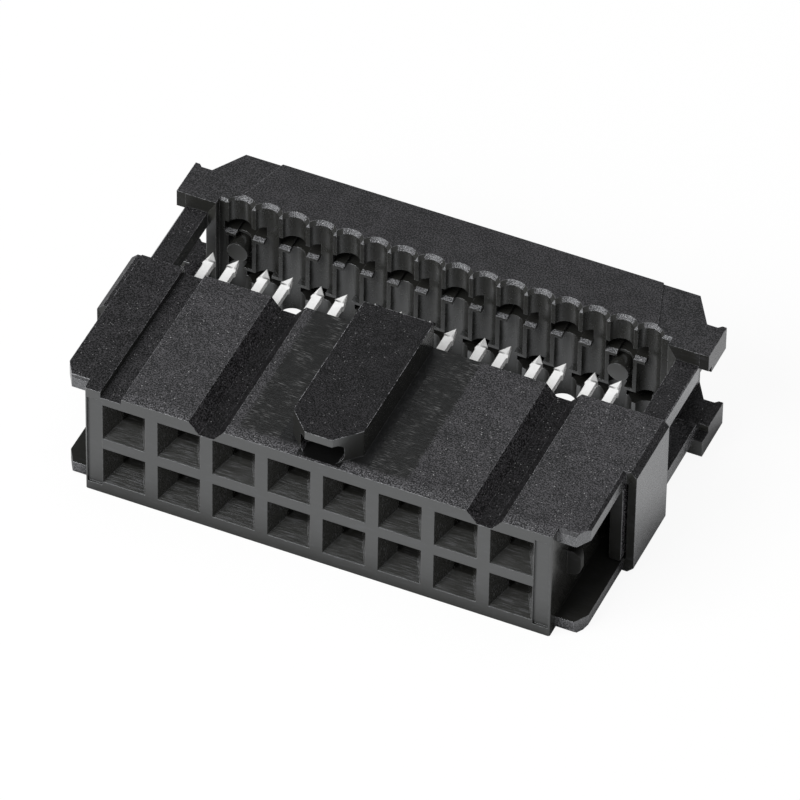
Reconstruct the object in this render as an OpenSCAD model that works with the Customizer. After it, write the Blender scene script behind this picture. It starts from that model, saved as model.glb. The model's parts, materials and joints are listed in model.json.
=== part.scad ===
// Ribbon-cable socket with insulation-displacement contacts, lying on its broad side.
// X runs along the contact rows, the mating face looks to -Y, the cover slides on from +Y.
// The origin is at the middle of the underside of the whole part, with the cover open.

/* [Contact grid] */
// Contacts in each of the two rows
ways = 8; // [5:1:12]
// Spacing of the contacts along a row and between the rows
pitch = 2.54; // [2.4:0.01:3]
// Side of the square cavity mouth in the mating face
mouth_w = 1.97; // [1.7:0.01:2.1]
// Depth of the tapered lead-in behind the mouth
lead_in = 0.9; // [0.5:0.05:1.3]
// Side of the square throat that a header pin passes
throat_w = 0.9; // [0.75:0.01:1.1]
// Length of the throat
throat_l = 0.6; // [0.3:0.05:1]

/* [Housing] */
// Depth from the mating face to the rear face
housing_d = 8.4; // [7.6:0.1:10]
// Height between the two broad sides
housing_h = 5.8; // [5.6:0.1:7]
// Distance from the last contact to the end wall
end_wall = 1.81; // [1.7:0.01:2.4]
// Radius of the upright edges beside the mating face
nose_r = 0.1; // [0.05:0.05:0.3]
// Reach of the flanges past the end wall
flange_reach = 1.25; // [1.25:0.05:2]
// Thickness of the flanges above and below the leg slots
flange_t = 0.7; // [0.5:0.05:0.9]
// Set-back of the flanges behind the mating face
flange_front = 0.55; // [0.3:0.05:1]
// Corner cut of the flanges along X
flange_cut_x = 0.4; // [0.2:0.05:0.6]
// Corner cut of the flanges along Y
flange_cut_y = 0.65; // [0.3:0.05:1]
// Edge cut along the outer and front edges of the flanges
flange_edge = 0.14; // [0.04:0.02:0.24]
// Length of the end straps from the rear face
strap_l = 3.5; // [2:0.1:4.5]
// Thickness of the end straps
strap_t = 0.37; // [0.3:0.01:0.6]
// Edge cut along the straps
strap_cut = 0.28; // [0.1:0.02:0.34]
// Height of the raised pad at the first-contact end
pad_h = 0.06; // [0.03:0.01:0.2]
// Length of that pad on the end wall's side of the groove
pad_l = 0.73; // [0.4:0.01:0.9]
// Width of the shallow groove beside the pad
groove_w = 0.97; // [0.5:0.01:1.2]
// Depth of the shallow groove
groove_d = 0.25; // [0.1:0.01:0.4]
// Width of the coding slots at the surface
slot_top_w = 1.62; // [1.2:0.02:1.9]
// Width of the coding slots at the floor
slot_floor_w = 0.66; // [0.4:0.02:1]
// Depth of the coding slots
slot_d = 0.6; // [0.3:0.02:0.62]
// Width of the bare recesses at the ends of the mating face
plate_w = 0.69; // [0.4:0.01:0.7]
// Height of the bare recesses
plate_h = 4.9; // [4:0.1:5.2]
// Depth of the bare recesses
plate_d = 0.1; // [0.05:0.01:0.2]
// Rim between a bare recess and the end wall
plate_rim = 0.1; // [0.05:0.01:0.3]

/* [Polarising key] */
// Width of the key
key_w = 3.24; // [2.6:0.02:4]
// Height of the key above the broad side
key_h = 1.4; // [1:0.05:1.8]
// Set-back of the key's nose behind the mating face
key_front = 0.15; // [0.05:0.05:0.6]
// Corner radius of the key's nose
key_r = 1.15; // [0.5:0.05:1.3]
// Width of the cored window under the nose
window_w = 1.7; // [1:0.05:2.2]
// Height of the window
window_h = 0.86; // [0.4:0.02:1]
// Depth of the window
window_d = 2.4; // [1:0.1:4]
// Corner radius of the window
window_r = 0.2; // [0.05:0.05:0.3]

/* [Latch] */
// Height of the latch noses
latch_h = 1.3; // [1:0.1:2.2]
// Length of a latch nose
latch_l = 1.05; // [0.7:0.05:1.3]
// Flat length at the top of a nose
latch_flat = 0.3; // [0.1:0.05:0.5]
// Corner radius of the latch noses
latch_r = 0.45; // [0.1:0.05:0.5]

/* [Cover] */
// Travel of the cover from open to closed
travel = 4; // [3:0.05:4.1]
// Height of the cover
cover_h = 5.6; // [5.2:0.1:6.4]
// Gap between the housing and the cover's ridges when open
open_gap = 4.76; // [4.6:0.02:5.4]
// Depth of the cover from its ridges to its rear face
cover_d = 2.97; // [2.7:0.01:3.6]
// Height of the raised middle of the cover
raise = 0.05; // [0.02:0.01:0.09]
// Widening of the raised middle towards the ridges, at each end
raise_side = 0.95; // [0.2:0.05:1.2]
// Reach of the rear face past the last contact
rear_end = 1.71; // [1.2:0.01:1.8]
// Depth of the slanted rear corners
slant_d = 1.5; // [1:0.05:1.7]
// Reach of the end blocks in front of the ridges
block_front = 0.36; // [0.2:0.02:0.5]
// Distance of the end blocks from the last contact
block_end = 1.61; // [1.5:0.01:1.8]
// Wire grooves' pitch
wire_pitch = 1.27; // [1.2:0.01:1.5]
// Radius of the wire grooves
groove_r = 0.58; // [0.5:0.01:0.6]
// Depth of the wire grooves
wire_d = 0.38; // [0.3:0.01:0.45]
// Edge cut round the mouths of the wire grooves
rim_cut = 0.12; // [0.05:0.01:0.2]
// Width of the pockets for the fork tips
pocket_w = 1.84; // [1.74:0.02:2]
// Height of the pockets
pocket_h = 0.62; // [0.5:0.02:0.8]
// Depth of the pockets
pocket_d = 2.35; // [2.2:0.05:2.5]
// Rise of the ramp that leads a tine into its pocket
ramp_h = 0.1; // [0.03:0.01:0.12]
// Length of that ramp
ramp_l = 0.2; // [0.1:0.02:0.4]
// Width of the ramp at each end of a pocket
ramp_w = 0.52; // [0.3:0.02:0.6]
// Thickness of the shelves that carry the ramps across the wire grooves
shelf_t = 0.15; // [0.1:0.01:0.2]
// Depth of the wells round the bosses
well_d = 0.7; // [0.5:0.05:1]
// Wall between a well and the next wire groove
well_wall = 0.09; // [0.06:0.01:0.12]
// Radius of the two round bosses on the wall
boss_r = 0.48; // [0.3:0.01:0.5]
// Reach of the bosses in front of the ridges
boss_l = 0.32; // [0.1:0.02:0.5]
// Height of the bosses above the middle of the wall
boss_z = 0.25; // [0:0.05:0.4]

/* [Legs and ears] */
// Thickness of the leg frames
leg_t = 1.05; // [0.9:0.01:1.05]
// Height of a rail of the leg frame
rail_h = 0.8; // [0.5:0.05:1]
// Length of the legs in front of the cover's ridges
leg_l = 8.56; // [8:0.02:9]
// Length of the cross bar at the front of the leg
bar_l = 1; // [0.7:0.05:1.3]
// Thickness of the cross bar and of the rails' front ends
bar_t = 0.55; // [0.45:0.01:0.7]
// Corner radius of the cross bar
bar_r = 0.12; // [0.05:0.01:0.2]
// Length of the thin front ends of the rails
thin_l = 2.6; // [1.5:0.1:4]
// Edge cut along the rails
rail_cut = 0.05; // [0.02:0.01:0.2]
// Reach of the ears past the legs
ear_reach = 0.42; // [0.2:0.02:0.5]
// Height of the ears
ear_h = 1.2; // [0.9:0.05:1.4]
// Length of the ears
ear_l = 1.45; // [1.1:0.05:1.7]
// Reach of the lip in front of an upper ear
lip_l = 0.36; // [0.2:0.02:0.6]
// Reach of the lip in front of a lower ear
lip_low = 0.68; // [0.2:0.02:0.74]
// Thickness of the lips
lip_t = 0.85; // [0.4:0.05:0.95]
// Reach of the hook at the outer rear corner of an ear
hook_l = 0.15; // [0.05:0.01:0.3]
// Width of that hook
hook_w = 0.2; // [0.1:0.02:0.24]
// Depth of the notch between the two ears of an end
notch_d = 0.98; // [0.6:0.02:1.1]

/* [Contacts] */
// Thickness of the contact sheet
sheet_t = 0.3; // [0.2:0.01:0.36]
// Reach of the fork tips behind the housing
fork_l = 2.9; // [2.4:0.05:3]
// Offset of the fork from the axis of its pin
fork_shift = 0.45; // [0.4:0.01:0.5]
// Distance between the two tips
tip_gap = 1.22; // [1:0.01:1.3]
// Half the width of the fork across its barbs
fork_x = 0.77; // [0.72:0.01:0.82]
// Half the width of the fork's mouth between the tips
mouth_x = 0.25; // [0.2:0.01:0.35]
// Length of the bevel on the inner side of a tip
tip_in = 0.51; // [0.3:0.02:0.7]
// Length of the bevel on the outer side of a tip
tip_out = 0.75; // [0.4:0.02:0.9]
// Size of the barbs behind the tips
barb = 0.06; // [0.02:0.01:0.1]
// Width of the slot that grips the wire
wire_slot = 0.3; // [0.2:0.01:0.4]
// Distance of the slot's mouth behind the housing
slot_mouth = 1.2; // [0.8:0.05:1.4]
// Length of the taper into the slot
slot_taper = 0.4; // [0.2:0.05:0.6]
// Reach of the slot into the housing
slot_in = 0.6; // [0.2:0.05:1]
// Half the width of the contact's base
base_x = 0.63; // [0.55:0.01:0.64]
// Length of the base in front of the fork's shoulder
base_l = 0.8; // [0.5:0.05:1.2]
// Depth of the shoulder below the rear face
shoulder_d = 2.4; // [1.8:0.05:2.8]
// Length of the base behind the shoulder
stem_l = 0.8; // [0.4:0.05:1.2]
// Width of a spring beam
beam_w = 0.34; // [0.24:0.01:0.36]
// Gap between the beams where they grip a pin
beam_gap = 0.5; // [0.4:0.01:0.54]
// Length of the beams' flared ends
beam_end = 0.7; // [0.4:0.05:1]
// Opening of the flared ends on each side
beam_flare = 0.15; // [0.05:0.01:0.2]
// Half the width of the chamber round the beams
chamber_x = 0.75; // [0.68:0.01:0.9]
// Half the height of that chamber
chamber_z = 0.4; // [0.34:0.01:0.5]
// Play of the contact in its slot
contact_play = 0.02; // [0.01:0.005:0.04]

/* [Fits] */
// Clearance beside the cover's legs
leg_play = 0.1; // [0.05:0.01:0.15]
// Clearance between the latch noses and the cross bars that slide past them
latch_play = 0.07; // [0.03:0.01:0.15]
// Clearance between the beams' ends and the throat
beam_play = 0.15; // [0.05:0.05:0.3]

/* [Hidden] */
$fn = 48;
eps = 0.01;
clear = 1;
row_z = pitch / 2;
half_row = (ways - 1) * pitch / 2;
body_x = half_row + end_wall;
flange_x = body_x + flange_reach;
side_z = housing_h / 2;
slot_z = side_z - flange_t;
leg_in = body_x + 2 * leg_play;
leg_out = leg_in + leg_t;
bar_in = leg_out - bar_t;
latch_tip = bar_in - latch_play;
strap_in = leg_out + leg_play;
strap_out = strap_in + strap_t;
ridge_y = housing_d + open_gap;
cover_rear = ridge_y + cover_d;
leg_front = ridge_y - leg_l;
block_y = ridge_y - block_front;
ear_rear = cover_rear - slant_d;
ear_front = ear_rear - ear_l;
ear_out = leg_out + ear_reach;
cover_z = cover_h / 2;
rail_z = slot_z - leg_play;
wires = 2 * ways;
boss_wires = [1, wires - 1];
part_d = cover_rear + raise;
wall_x = half_row + block_end;
middle_z = cover_z + raise;
groove_end = row_z + pocket_h / 2;
panel_z = row_z - pocket_h / 2;
shelf_z = panel_z - shelf_t;
groove_y = ridge_y + wire_d;
well_x = wire_pitch / 2 - well_wall;
chamber_y = lead_in + throat_l;
beam_tip = chamber_y + beam_play;
shoulder_y = housing_d - shoulder_d;
base_y = shoulder_y - base_l;
fork_tip = housing_d + fork_l;
beam_x = beam_gap / 2 + beam_w;
shaft_in = mouth_x + barb;
shaft_out = fork_x - barb;
// Outline of one tine, from its outer side over the point to the bottom of the wire slot
tine = [
    [shaft_out, shoulder_y + stem_l],
    [shaft_out, fork_tip - tip_out - barb],
    [fork_x, fork_tip - tip_out],
    [tip_gap / 2, fork_tip],
    [mouth_x, fork_tip - tip_in],
    [shaft_in, fork_tip - tip_in - barb],
    [shaft_in, housing_d + slot_mouth],
    [wire_slot / 2, housing_d + slot_mouth - slot_taper],
    [wire_slot / 2, housing_d - slot_in]
];

// Outline of one spring beam, from its root on the inner side round to the outer side
beam = [
    [base_x - beam_w, base_y],
    [beam_gap / 2, beam_tip + beam_end],
    [beam_gap / 2 + beam_flare, beam_tip],
    [beam_x, beam_tip],
    [beam_x, beam_tip + beam_end],
    [base_x, base_y]
];
black = [0.07, 0.07, 0.075];
tin = [0.85, 0.85, 0.83];
top_names = [for (i = [1:ways]) str("contact_top_", i)];
bottom_names = [for (i = [1:ways]) str("contact_bottom_", i)];

function contact_x(i) = (i - 1) * pitch - half_row;
function wire_x(k) = (k - (wires + 1) / 2) * wire_pitch;
function flipped(p) = [for (i = [len(p) - 1:-1:0]) [-p[i][0], p[i][1]]];
function moved(p, dx) = [for (q = p) [q[0] + dx, q[1]]];

// Moves a piece from the grid's frame to the part's frame
module placed() {
    translate([0, -part_d / 2, side_z]) children();
}

// Both ends of the part
module both_ends() {
    for (side = [0, 1]) mirror([side, 0, 0]) children();
}

// Both broad sides
module both_sides() {
    for (side = [0, 1]) mirror([0, 0, side]) children();
}

// A section in X and Z, run along Y from y0 to y1
module along_y(y0, y1) {
    translate([0, y1, 0]) rotate([90, 0, 0]) linear_extrude(y1 - y0) children();
}

// A section in Y and Z, run along X from x0 to x1
module along_x(x0, x1) {
    translate([x0, 0, 0]) rotate([90, 0, 90]) linear_extrude(x1 - x0) children();
}

// A rectangle from one corner to the other
module corners(a, b) {
    translate(a) square(b - a);
}

// A box from one corner to the other
module block(a, b) {
    translate(a) cube(b - a);
}

// Plan of the nose with its two rounded upright edges
module nose_plan() {
    corners([-body_x, nose_r], [body_x, housing_d]);
    corners([-body_x + nose_r, 0], [body_x - nose_r, housing_d]);
    both_ends() translate([body_x - nose_r, nose_r]) circle(nose_r);
}

// Plan of the flanges with their cut front corners
module flange_plan() {
    polygon([
        [-flange_x, flange_front + flange_cut_y],
        [-flange_x + flange_cut_x, flange_front],
        [flange_x - flange_cut_x, flange_front],
        [flange_x, flange_front + flange_cut_y],
        [flange_x, housing_d],
        [-flange_x, housing_d]
    ]);
}

// Section of both flanges and the nose, with cut outer edges
module flange_section() {
    polygon([
        [-flange_x, -side_z + flange_edge],
        [-flange_x + flange_edge, -side_z],
        [flange_x - flange_edge, -side_z],
        [flange_x, -side_z + flange_edge],
        [flange_x, side_z - flange_edge],
        [flange_x - flange_edge, side_z],
        [-flange_x + flange_edge, side_z],
        [-flange_x, side_z - flange_edge]
    ]);
}

// Side view of the flanges, with cut front edges
module flange_side() {
    polygon([
        [flange_front + flange_edge, -side_z],
        [housing_d, -side_z],
        [housing_d, side_z],
        [flange_front + flange_edge, side_z],
        [flange_front, side_z - flange_edge],
        [flange_front, -side_z + flange_edge]
    ]);
}

// Block of both flanges before the leg slots are cut
module flanges() {
    intersection() {
        translate([0, 0, -side_z]) linear_extrude(housing_h) flange_plan();
        along_y(flange_front, housing_d) flange_section();
        along_x(-flange_x, flange_x) flange_side();
    }
}

// Section of a strap with its cut outer edges
module strap_section() {
    polygon([
        [body_x, -side_z],
        [strap_out - strap_cut, -side_z],
        [strap_out, -side_z + strap_cut],
        [strap_out, side_z - strap_cut],
        [strap_out - strap_cut, side_z],
        [body_x, side_z]
    ]);
}

// Plan of the key with its rounded nose
module key_plan() {
    corners([-key_w / 2, key_front + key_r], [key_w / 2, housing_d]);
    corners([-key_w / 2 + key_r, key_front], [key_w / 2 - key_r, housing_d]);
    both_ends() translate([key_w / 2 - key_r, key_front + key_r]) circle(key_r);
}

// Section of the window under the key
module window_section() {
    corners([-window_w / 2 + window_r, 0], [window_w / 2 - window_r, window_h]);
    corners([-window_w / 2, window_r], [window_w / 2, window_h - window_r]);
    both_ends() translate([window_w / 2 - window_r, window_r]) circle(window_r);
    both_ends() translate([window_w / 2 - window_r, window_h - window_r]) circle(window_r);
}

// Section of a coding slot, open at the broad side
module slot_section() {
    polygon([
        [-slot_floor_w / 2, -slot_d],
        [slot_floor_w / 2, -slot_d],
        [slot_top_w / 2, 0],
        [slot_top_w / 2, pad_h],
        [-slot_top_w / 2, pad_h],
        [-slot_top_w / 2, 0]
    ]);
}

// Side view of the lead-in, tapering from the mouth to the throat
module lead_in_plan() {
    polygon([
        [-mouth_w / 2, 0],
        [mouth_w / 2, 0],
        [throat_w / 2, lead_in],
        [-throat_w / 2, lead_in]
    ]);
}

// Tapered square lead-in and throat of one contact
module cavity() {
    intersection() {
        translate([0, 0, -mouth_w / 2]) linear_extrude(mouth_w) lead_in_plan();
        rotate([0, 90, 0]) translate([0, 0, -mouth_w / 2]) linear_extrude(mouth_w) lead_in_plan();
    }
    block([-throat_w / 2, lead_in - eps, -throat_w / 2], [throat_w / 2, chamber_y + eps, throat_w / 2]);
}

// Space in the housing for one contact, for a fork to the -X side of the pin
module contact_space() {
    slot_x = base_x + contact_play;
    slot_t = sheet_t / 2 + contact_play;
    block([-chamber_x, chamber_y, -chamber_z], [chamber_x, base_y, chamber_z]);
    block([-slot_x, base_y - eps, -slot_t], [slot_x, housing_d + eps, slot_t]);
    block([-fork_shift - shaft_out - contact_play, shoulder_y, -slot_t], [0, housing_d + eps, slot_t]);
}

// Ramped latch nose on the end wall, with its catch face to the front at y
module latch_nose(y) {
    intersection() {
        linear_extrude(latch_h, center = true)
            polygon([
                [body_x - eps, y],
                [latch_tip, y],
                [latch_tip, y + latch_flat],
                [body_x - eps, y + latch_l]
            ]);
        along_y(y - eps, y + latch_l + eps) {
            corners([body_x - clear, -latch_h / 2], [latch_tip - latch_r, latch_h / 2]);
            corners([body_x - clear, -latch_h / 2 + latch_r], [latch_tip, latch_h / 2 - latch_r]);
            translate([latch_tip - latch_r, latch_h / 2 - latch_r]) circle(latch_r);
            translate([latch_tip - latch_r, -latch_h / 2 + latch_r]) circle(latch_r);
        }
    }
}

module housing() {
    color(black) placed() difference() {
        union() {
            translate([0, 0, -side_z]) linear_extrude(housing_h) nose_plan();
            difference() {
                union() {
                    flanges();
                    both_ends() along_y(housing_d - strap_l, housing_d) strap_section();
                }
                both_ends()
                    block([body_x, -eps, -slot_z], [strap_in, housing_d + eps, slot_z]);
            }
            translate([0, 0, side_z]) linear_extrude(key_h) key_plan();
            translate([0, 0, side_z]) linear_extrude(pad_h) intersection() {
                union() {
                    nose_plan();
                    flange_plan();
                }
                corners([-flange_x, 0], [-body_x + pad_l, housing_d]);
            }
            both_ends() latch_nose(leg_front - travel + bar_l + leg_play);
            both_ends() latch_nose(leg_front + bar_l + leg_play);
        }
        for (i = [1:ways]) {
            translate([contact_x(i), 0, row_z]) {
                cavity();
                contact_space();
            }
            translate([contact_x(i), 0, -row_z]) {
                cavity();
                mirror([1, 0, 0]) contact_space();
            }
        }
        for (i = [2, ways - 1])
            translate([contact_x(i) + pitch / 2, 0, side_z]) along_y(-eps, housing_d + eps) slot_section();
        block(
            [-body_x + pad_l, -eps, side_z - groove_d],
            [-body_x + pad_l + groove_w, housing_d + eps, side_z + 2 * pad_h]
        );
        translate([0, 0, side_z]) along_y(0, key_front + window_d) window_section();
        both_ends()
            block(
                [body_x - plate_rim - plate_w, -eps, -plate_h / 2],
                [body_x - plate_rim, plate_d, plate_h / 2]
            );
    }
}

// Plan of the cover's bar with slanted rear corners
module cover_plan() {
    rear_x = half_row + rear_end;
    polygon([
        [-leg_out, block_y],
        [leg_out, block_y],
        [leg_out, ear_rear],
        [leg_out - ear_reach, ear_rear],
        [rear_x, cover_rear],
        [-rear_x, cover_rear],
        [-leg_out + ear_reach, ear_rear],
        [-leg_out, ear_rear]
    ]);
}

// Plan of an ear with the hook at its outer rear corner
module ear_plan() {
    polygon([
        [leg_out - eps, ear_front],
        [ear_out, ear_front],
        [ear_out, ear_rear + hook_l],
        [ear_out - hook_w, ear_rear + hook_l],
        [ear_out - hook_w - hook_l, ear_rear],
        [leg_out - eps, ear_rear]
    ]);
}

// Section of a leg rail with its cut outer edge, on the upper side
module rail_section(inner_x) {
    polygon([
        [inner_x, rail_z - rail_h],
        [leg_out, rail_z - rail_h],
        [leg_out, rail_z - rail_cut],
        [leg_out - rail_cut, rail_z],
        [inner_x, rail_z]
    ]);
}

// Section of the cross bar with its rounded corners
module bar_section() {
    corners([bar_in + bar_r, -rail_z], [leg_out - bar_r, rail_z]);
    corners([bar_in, -rail_z + bar_r], [leg_out, rail_z - bar_r]);
    for (end_z = [bar_r - rail_z, rail_z - bar_r]) {
        translate([bar_in + bar_r, end_z]) circle(bar_r);
        translate([leg_out - bar_r, end_z]) circle(bar_r);
    }
}

// Plan of the cover's raised middle with its slanting ends
module raised_plan() {
    polygon([
        [-half_row - raise_side, ridge_y],
        [half_row + raise_side, ridge_y],
        [half_row, part_d],
        [-half_row, part_d]
    ]);
}

// Upper half of a wire groove with its cut mouth, as the round space to cut away
module wire_groove() {
    translate([0, groove_y - groove_r, 0]) rotate_extrude()
        polygon([
            [0, -eps],
            [groove_r, -eps],
            [groove_r, cover_z - rim_cut],
            [groove_r + rim_cut + raise + eps, middle_z + eps],
            [0, middle_z + eps]
        ]);
}

// Shelf that carries the ramp at one end of an upper pocket
module shelf(x0) {
    block([x0, ridge_y - eps, shelf_z], [x0 + ramp_w, groove_y + eps, groove_end]);
}

// Edge cut along the upper front edge of the wall
module rim_section() {
    polygon([
        [ridge_y - clear, cover_z - rim_cut - clear],
        [ridge_y + rim_cut + raise + eps, middle_z + eps],
        [ridge_y - clear, middle_z + eps]
    ]);
}

// Section of the space over the ramp at an end of an upper pocket
module ramp_section() {
    polygon([
        [ridge_y - clear, panel_z],
        [ridge_y, panel_z],
        [ridge_y + ramp_l, panel_z + ramp_h],
        [ridge_y + pocket_d, panel_z + ramp_h],
        [ridge_y + pocket_d, groove_end],
        [ridge_y - clear, groove_end]
    ]);
}

// Upper pocket for the fork tips, with a ramp for each tine
module pocket() {
    middle = pocket_w / 2 - ramp_w;
    block([-middle, ridge_y - clear, panel_z], [middle, ridge_y + pocket_d, groove_end]);
    along_x(-pocket_w / 2, pocket_w / 2) ramp_section();
}

// Space of a well, before its boss is set in
module well() {
    block([-well_x, ridge_y - eps, -shelf_z], [well_x, ridge_y + well_d, shelf_z]);
}

// Round boss that stands in a well
module boss() {
    along_y(ridge_y - boss_l, ridge_y + well_d + eps) circle(boss_r);
}

// All the wire grooves, broken by the shelves at the pockets
module wire_grooves() {
    difference() {
        for (k = [1:wires]) translate([wire_x(k), 0, 0]) both_sides() wire_groove();
        for (i = [1:ways]) translate([contact_x(i), 0, 0]) both_shelves();
    }
}

// The shelves of the upper and the lower pocket of one column
module both_shelves() {
    for (x0 = [-pocket_w / 2, pocket_w / 2 - ramp_w]) {
        translate([-fork_shift, 0, 0]) shelf(x0);
        translate([fork_shift, 0, 0]) mirror([0, 0, 1]) shelf(x0);
    }
}

module cover() {
    color(black) placed() difference() {
        union() {
            difference() {
                union() {
                    translate([0, 0, -cover_z]) linear_extrude(cover_h) cover_plan();
                    translate([0, 0, -middle_z]) linear_extrude(2 * middle_z) raised_plan();
                }
                block([-wall_x, block_y - clear, -middle_z - clear], [wall_x, ridge_y, middle_z + clear]);
                wire_grooves();
                both_sides() along_x(-wall_x, wall_x) rim_section();
                for (k = boss_wires) translate([wire_x(k), 0, 0]) well();
            }
            both_ends() both_sides() {
                along_y(leg_front + thin_l, block_y + eps) rail_section(leg_in);
                along_y(leg_front + bar_l - eps, leg_front + thin_l + eps) rail_section(bar_in);
                translate([0, 0, cover_z - ear_h]) linear_extrude(ear_h) ear_plan();
            }
            both_ends() {
                block([leg_in, ear_front - lip_l, cover_z - lip_t], [ear_out, ear_front + eps, cover_z]);
                block([leg_in, ear_front - lip_low, -cover_z], [ear_out, ear_front + eps, -cover_z + lip_t]);
                along_y(leg_front, leg_front + bar_l) bar_section();
            }
            for (k = boss_wires) translate([wire_x(k), 0, boss_z]) boss();
        }
        for (i = [1:ways]) translate([contact_x(i), 0, 0]) {
            translate([-fork_shift, 0, 0]) pocket();
            translate([fork_shift, 0, 0]) mirror([0, 0, 1]) pocket();
        }
        both_ends()
            block(
                [leg_out - notch_d, block_y - eps, -cover_z + ear_h],
                [ear_out + clear, part_d + clear, cover_z - ear_h]
            );
    }
}

// Flat outline of a contact with its fork to the -X side of the pin
module contact_outline() {
    polygon(concat(
        beam,
        [[base_x, shoulder_y + stem_l]],
        moved(concat(tine, flipped(tine)), -fork_shift),
        [[-fork_shift - shaft_out, shoulder_y], [-base_x, shoulder_y]],
        flipped(beam)
    ));
}

// A contact of the upper or lower row
module contact(i, upper) {
    color(tin) placed() translate([contact_x(i), 0, upper ? row_z : -row_z])
        mirror([upper ? 0 : 1, 0, 0]) linear_extrude(sheet_t, center = true) contact_outline();
}

housing();
cover();
for (i = [1:ways]) {
    contact(i, true);
    contact(i, false);
}
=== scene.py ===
# %% [markdown]
# # A ribbon-cable socket in black plastic
#
# This lesson dresses a small cable connector: a moulded housing, a cover that slides onto it,
# and sixteen forked contacts. The construction model brings the pieces in their true sizes and
# places, and only the nose of the housing's key is trimmed here. The rest is what a photographer
# and a moulder would do: place the camera, light the part, and give each surface the finish that
# the mould or the plating bath left on it.

# %% Load the construction model
import json
import math
import bmesh
import bpy
from mathutils import Matrix, Vector

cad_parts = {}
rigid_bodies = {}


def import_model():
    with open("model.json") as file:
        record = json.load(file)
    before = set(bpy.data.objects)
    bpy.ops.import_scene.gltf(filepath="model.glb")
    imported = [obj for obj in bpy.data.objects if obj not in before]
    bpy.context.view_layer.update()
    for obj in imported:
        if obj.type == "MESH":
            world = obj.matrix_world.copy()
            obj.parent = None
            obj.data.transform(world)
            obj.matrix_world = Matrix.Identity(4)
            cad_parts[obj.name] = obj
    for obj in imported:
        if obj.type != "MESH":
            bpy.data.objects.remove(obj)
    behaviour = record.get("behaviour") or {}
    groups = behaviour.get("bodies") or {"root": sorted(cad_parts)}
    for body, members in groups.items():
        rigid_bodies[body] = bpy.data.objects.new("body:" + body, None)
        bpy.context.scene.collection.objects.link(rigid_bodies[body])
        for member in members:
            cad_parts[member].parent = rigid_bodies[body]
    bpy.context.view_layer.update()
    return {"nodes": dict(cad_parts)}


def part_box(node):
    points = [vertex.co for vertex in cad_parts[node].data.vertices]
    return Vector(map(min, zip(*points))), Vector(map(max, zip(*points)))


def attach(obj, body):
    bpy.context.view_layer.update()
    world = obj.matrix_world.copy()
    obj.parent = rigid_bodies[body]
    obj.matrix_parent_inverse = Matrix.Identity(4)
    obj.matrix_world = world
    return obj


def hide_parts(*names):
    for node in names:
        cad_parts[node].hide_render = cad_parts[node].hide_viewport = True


for leftover in list(bpy.data.objects):
    bpy.data.objects.remove(leftover)
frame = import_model()
nodes = frame["nodes"]
MM = 0.001

# %% [markdown]
# ## Where things are
#
# A maker measures from faces, not from the middle of nowhere. The boxes round the housing and the
# cover give the mating face at the front, the rear, the ends and the top of the key. These could
# be typed in as numbers, but reading them from the model keeps the finishes where the faces are.
# Blender counts in metres. A part of this size is drawn in millimetres, so places and sizes on it
# are kept in millimetres here.

# %% Faces of the housing and the cover
housing = nodes["housing"]
cover = nodes["cover"]
housing_low, housing_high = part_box("housing")
cover_low, cover_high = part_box("cover")
FRONT = housing_low.y / MM
REAR = housing_high.y / MM
KEY_TOP = housing_high.z / MM
KEY_RISE = 1.4
BROAD_SIDE = KEY_TOP - KEY_RISE
print("housing depth, mm:", round(REAR - FRONT, 2), "broad side at, mm:", round(BROAD_SIDE, 2))

# %% [markdown]
# ## The camera
#
# Product photographs of small parts are taken from far away with a long lens, so that parallel
# edges stay almost parallel. A camera could be placed by hand in the viewport, but it is easier to
# repeat as a direction to look from, a point to look at and a distance. The angles here were
# fitted to the sixteen square mouths of the part.

# %% Camera
VIEW_AZIMUTH = math.radians(23.236)
VIEW_ELEVATION = math.radians(43.934)
VIEW_ROLL = math.radians(0.991)
AIM = Vector((0.438, -0.436, 2.9)) * MM
DISTANCE = 424.995 * MM
LENS = 451.434
SENSOR = 36.0

camera_data = bpy.data.cameras.new("camera")
camera_data.lens = LENS
camera_data.sensor_width = SENSOR
camera = bpy.data.objects.new("camera", camera_data)
bpy.context.scene.collection.objects.link(camera)
turn = (
    Matrix.Rotation(VIEW_AZIMUTH, 4, "Z")
    @ Matrix.Rotation(math.pi / 2 - VIEW_ELEVATION, 4, "X")
    @ Matrix.Rotation(VIEW_ROLL, 4, "Z")
)
backwards = turn @ Vector((0, 0, 1))
camera.matrix_world = Matrix.Translation(AIM + backwards * DISTANCE) @ turn
bpy.context.scene.camera = camera
print("camera at, mm:", [round(v / MM, 1) for v in camera.matrix_world.translation])

# %% [markdown]
# ## A short way to write nodes
#
# A material is a small net of nodes. Written out in full, each node takes five or six lines, and
# the idea gets lost. The first helper adds one node, sets its options, and fills its inputs with
# either a plain value or a wire from another node, so that one line of code is one node. The
# others are the few nodes that every finish below uses again and again.

# %% Helpers for shader nodes
def put(tree, kind, inputs, **options):
    """Adds a shader node, fills its inputs by name or number, and returns its outputs."""
    node = tree.nodes.new("ShaderNode" + kind)
    for name, value in options.items():
        setattr(node, name, value)
    for key, value in inputs.items():
        if isinstance(value, bpy.types.NodeSocket):
            tree.links.new(value, node.inputs[key])
        else:
            node.inputs[key].default_value = value
    return node.outputs


def maths(tree, operation, a, b=0.0):
    """One sum on one or two numbers or wires."""
    return put(tree, "Math", {0: a, 1: b}, operation=operation)[0]


def times(tree, a, b):
    """The product of two numbers or wires."""
    return maths(tree, "MULTIPLY", a, b)


def plus(tree, a, b):
    """The sum of two numbers or wires."""
    return maths(tree, "ADD", a, b)


def blend(tree, factor, a, b):
    """Mixes two colours or colour wires."""
    return put(tree, "Mix", {0: factor, 6: a, 7: b}, data_type="RGBA")[2]


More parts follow.
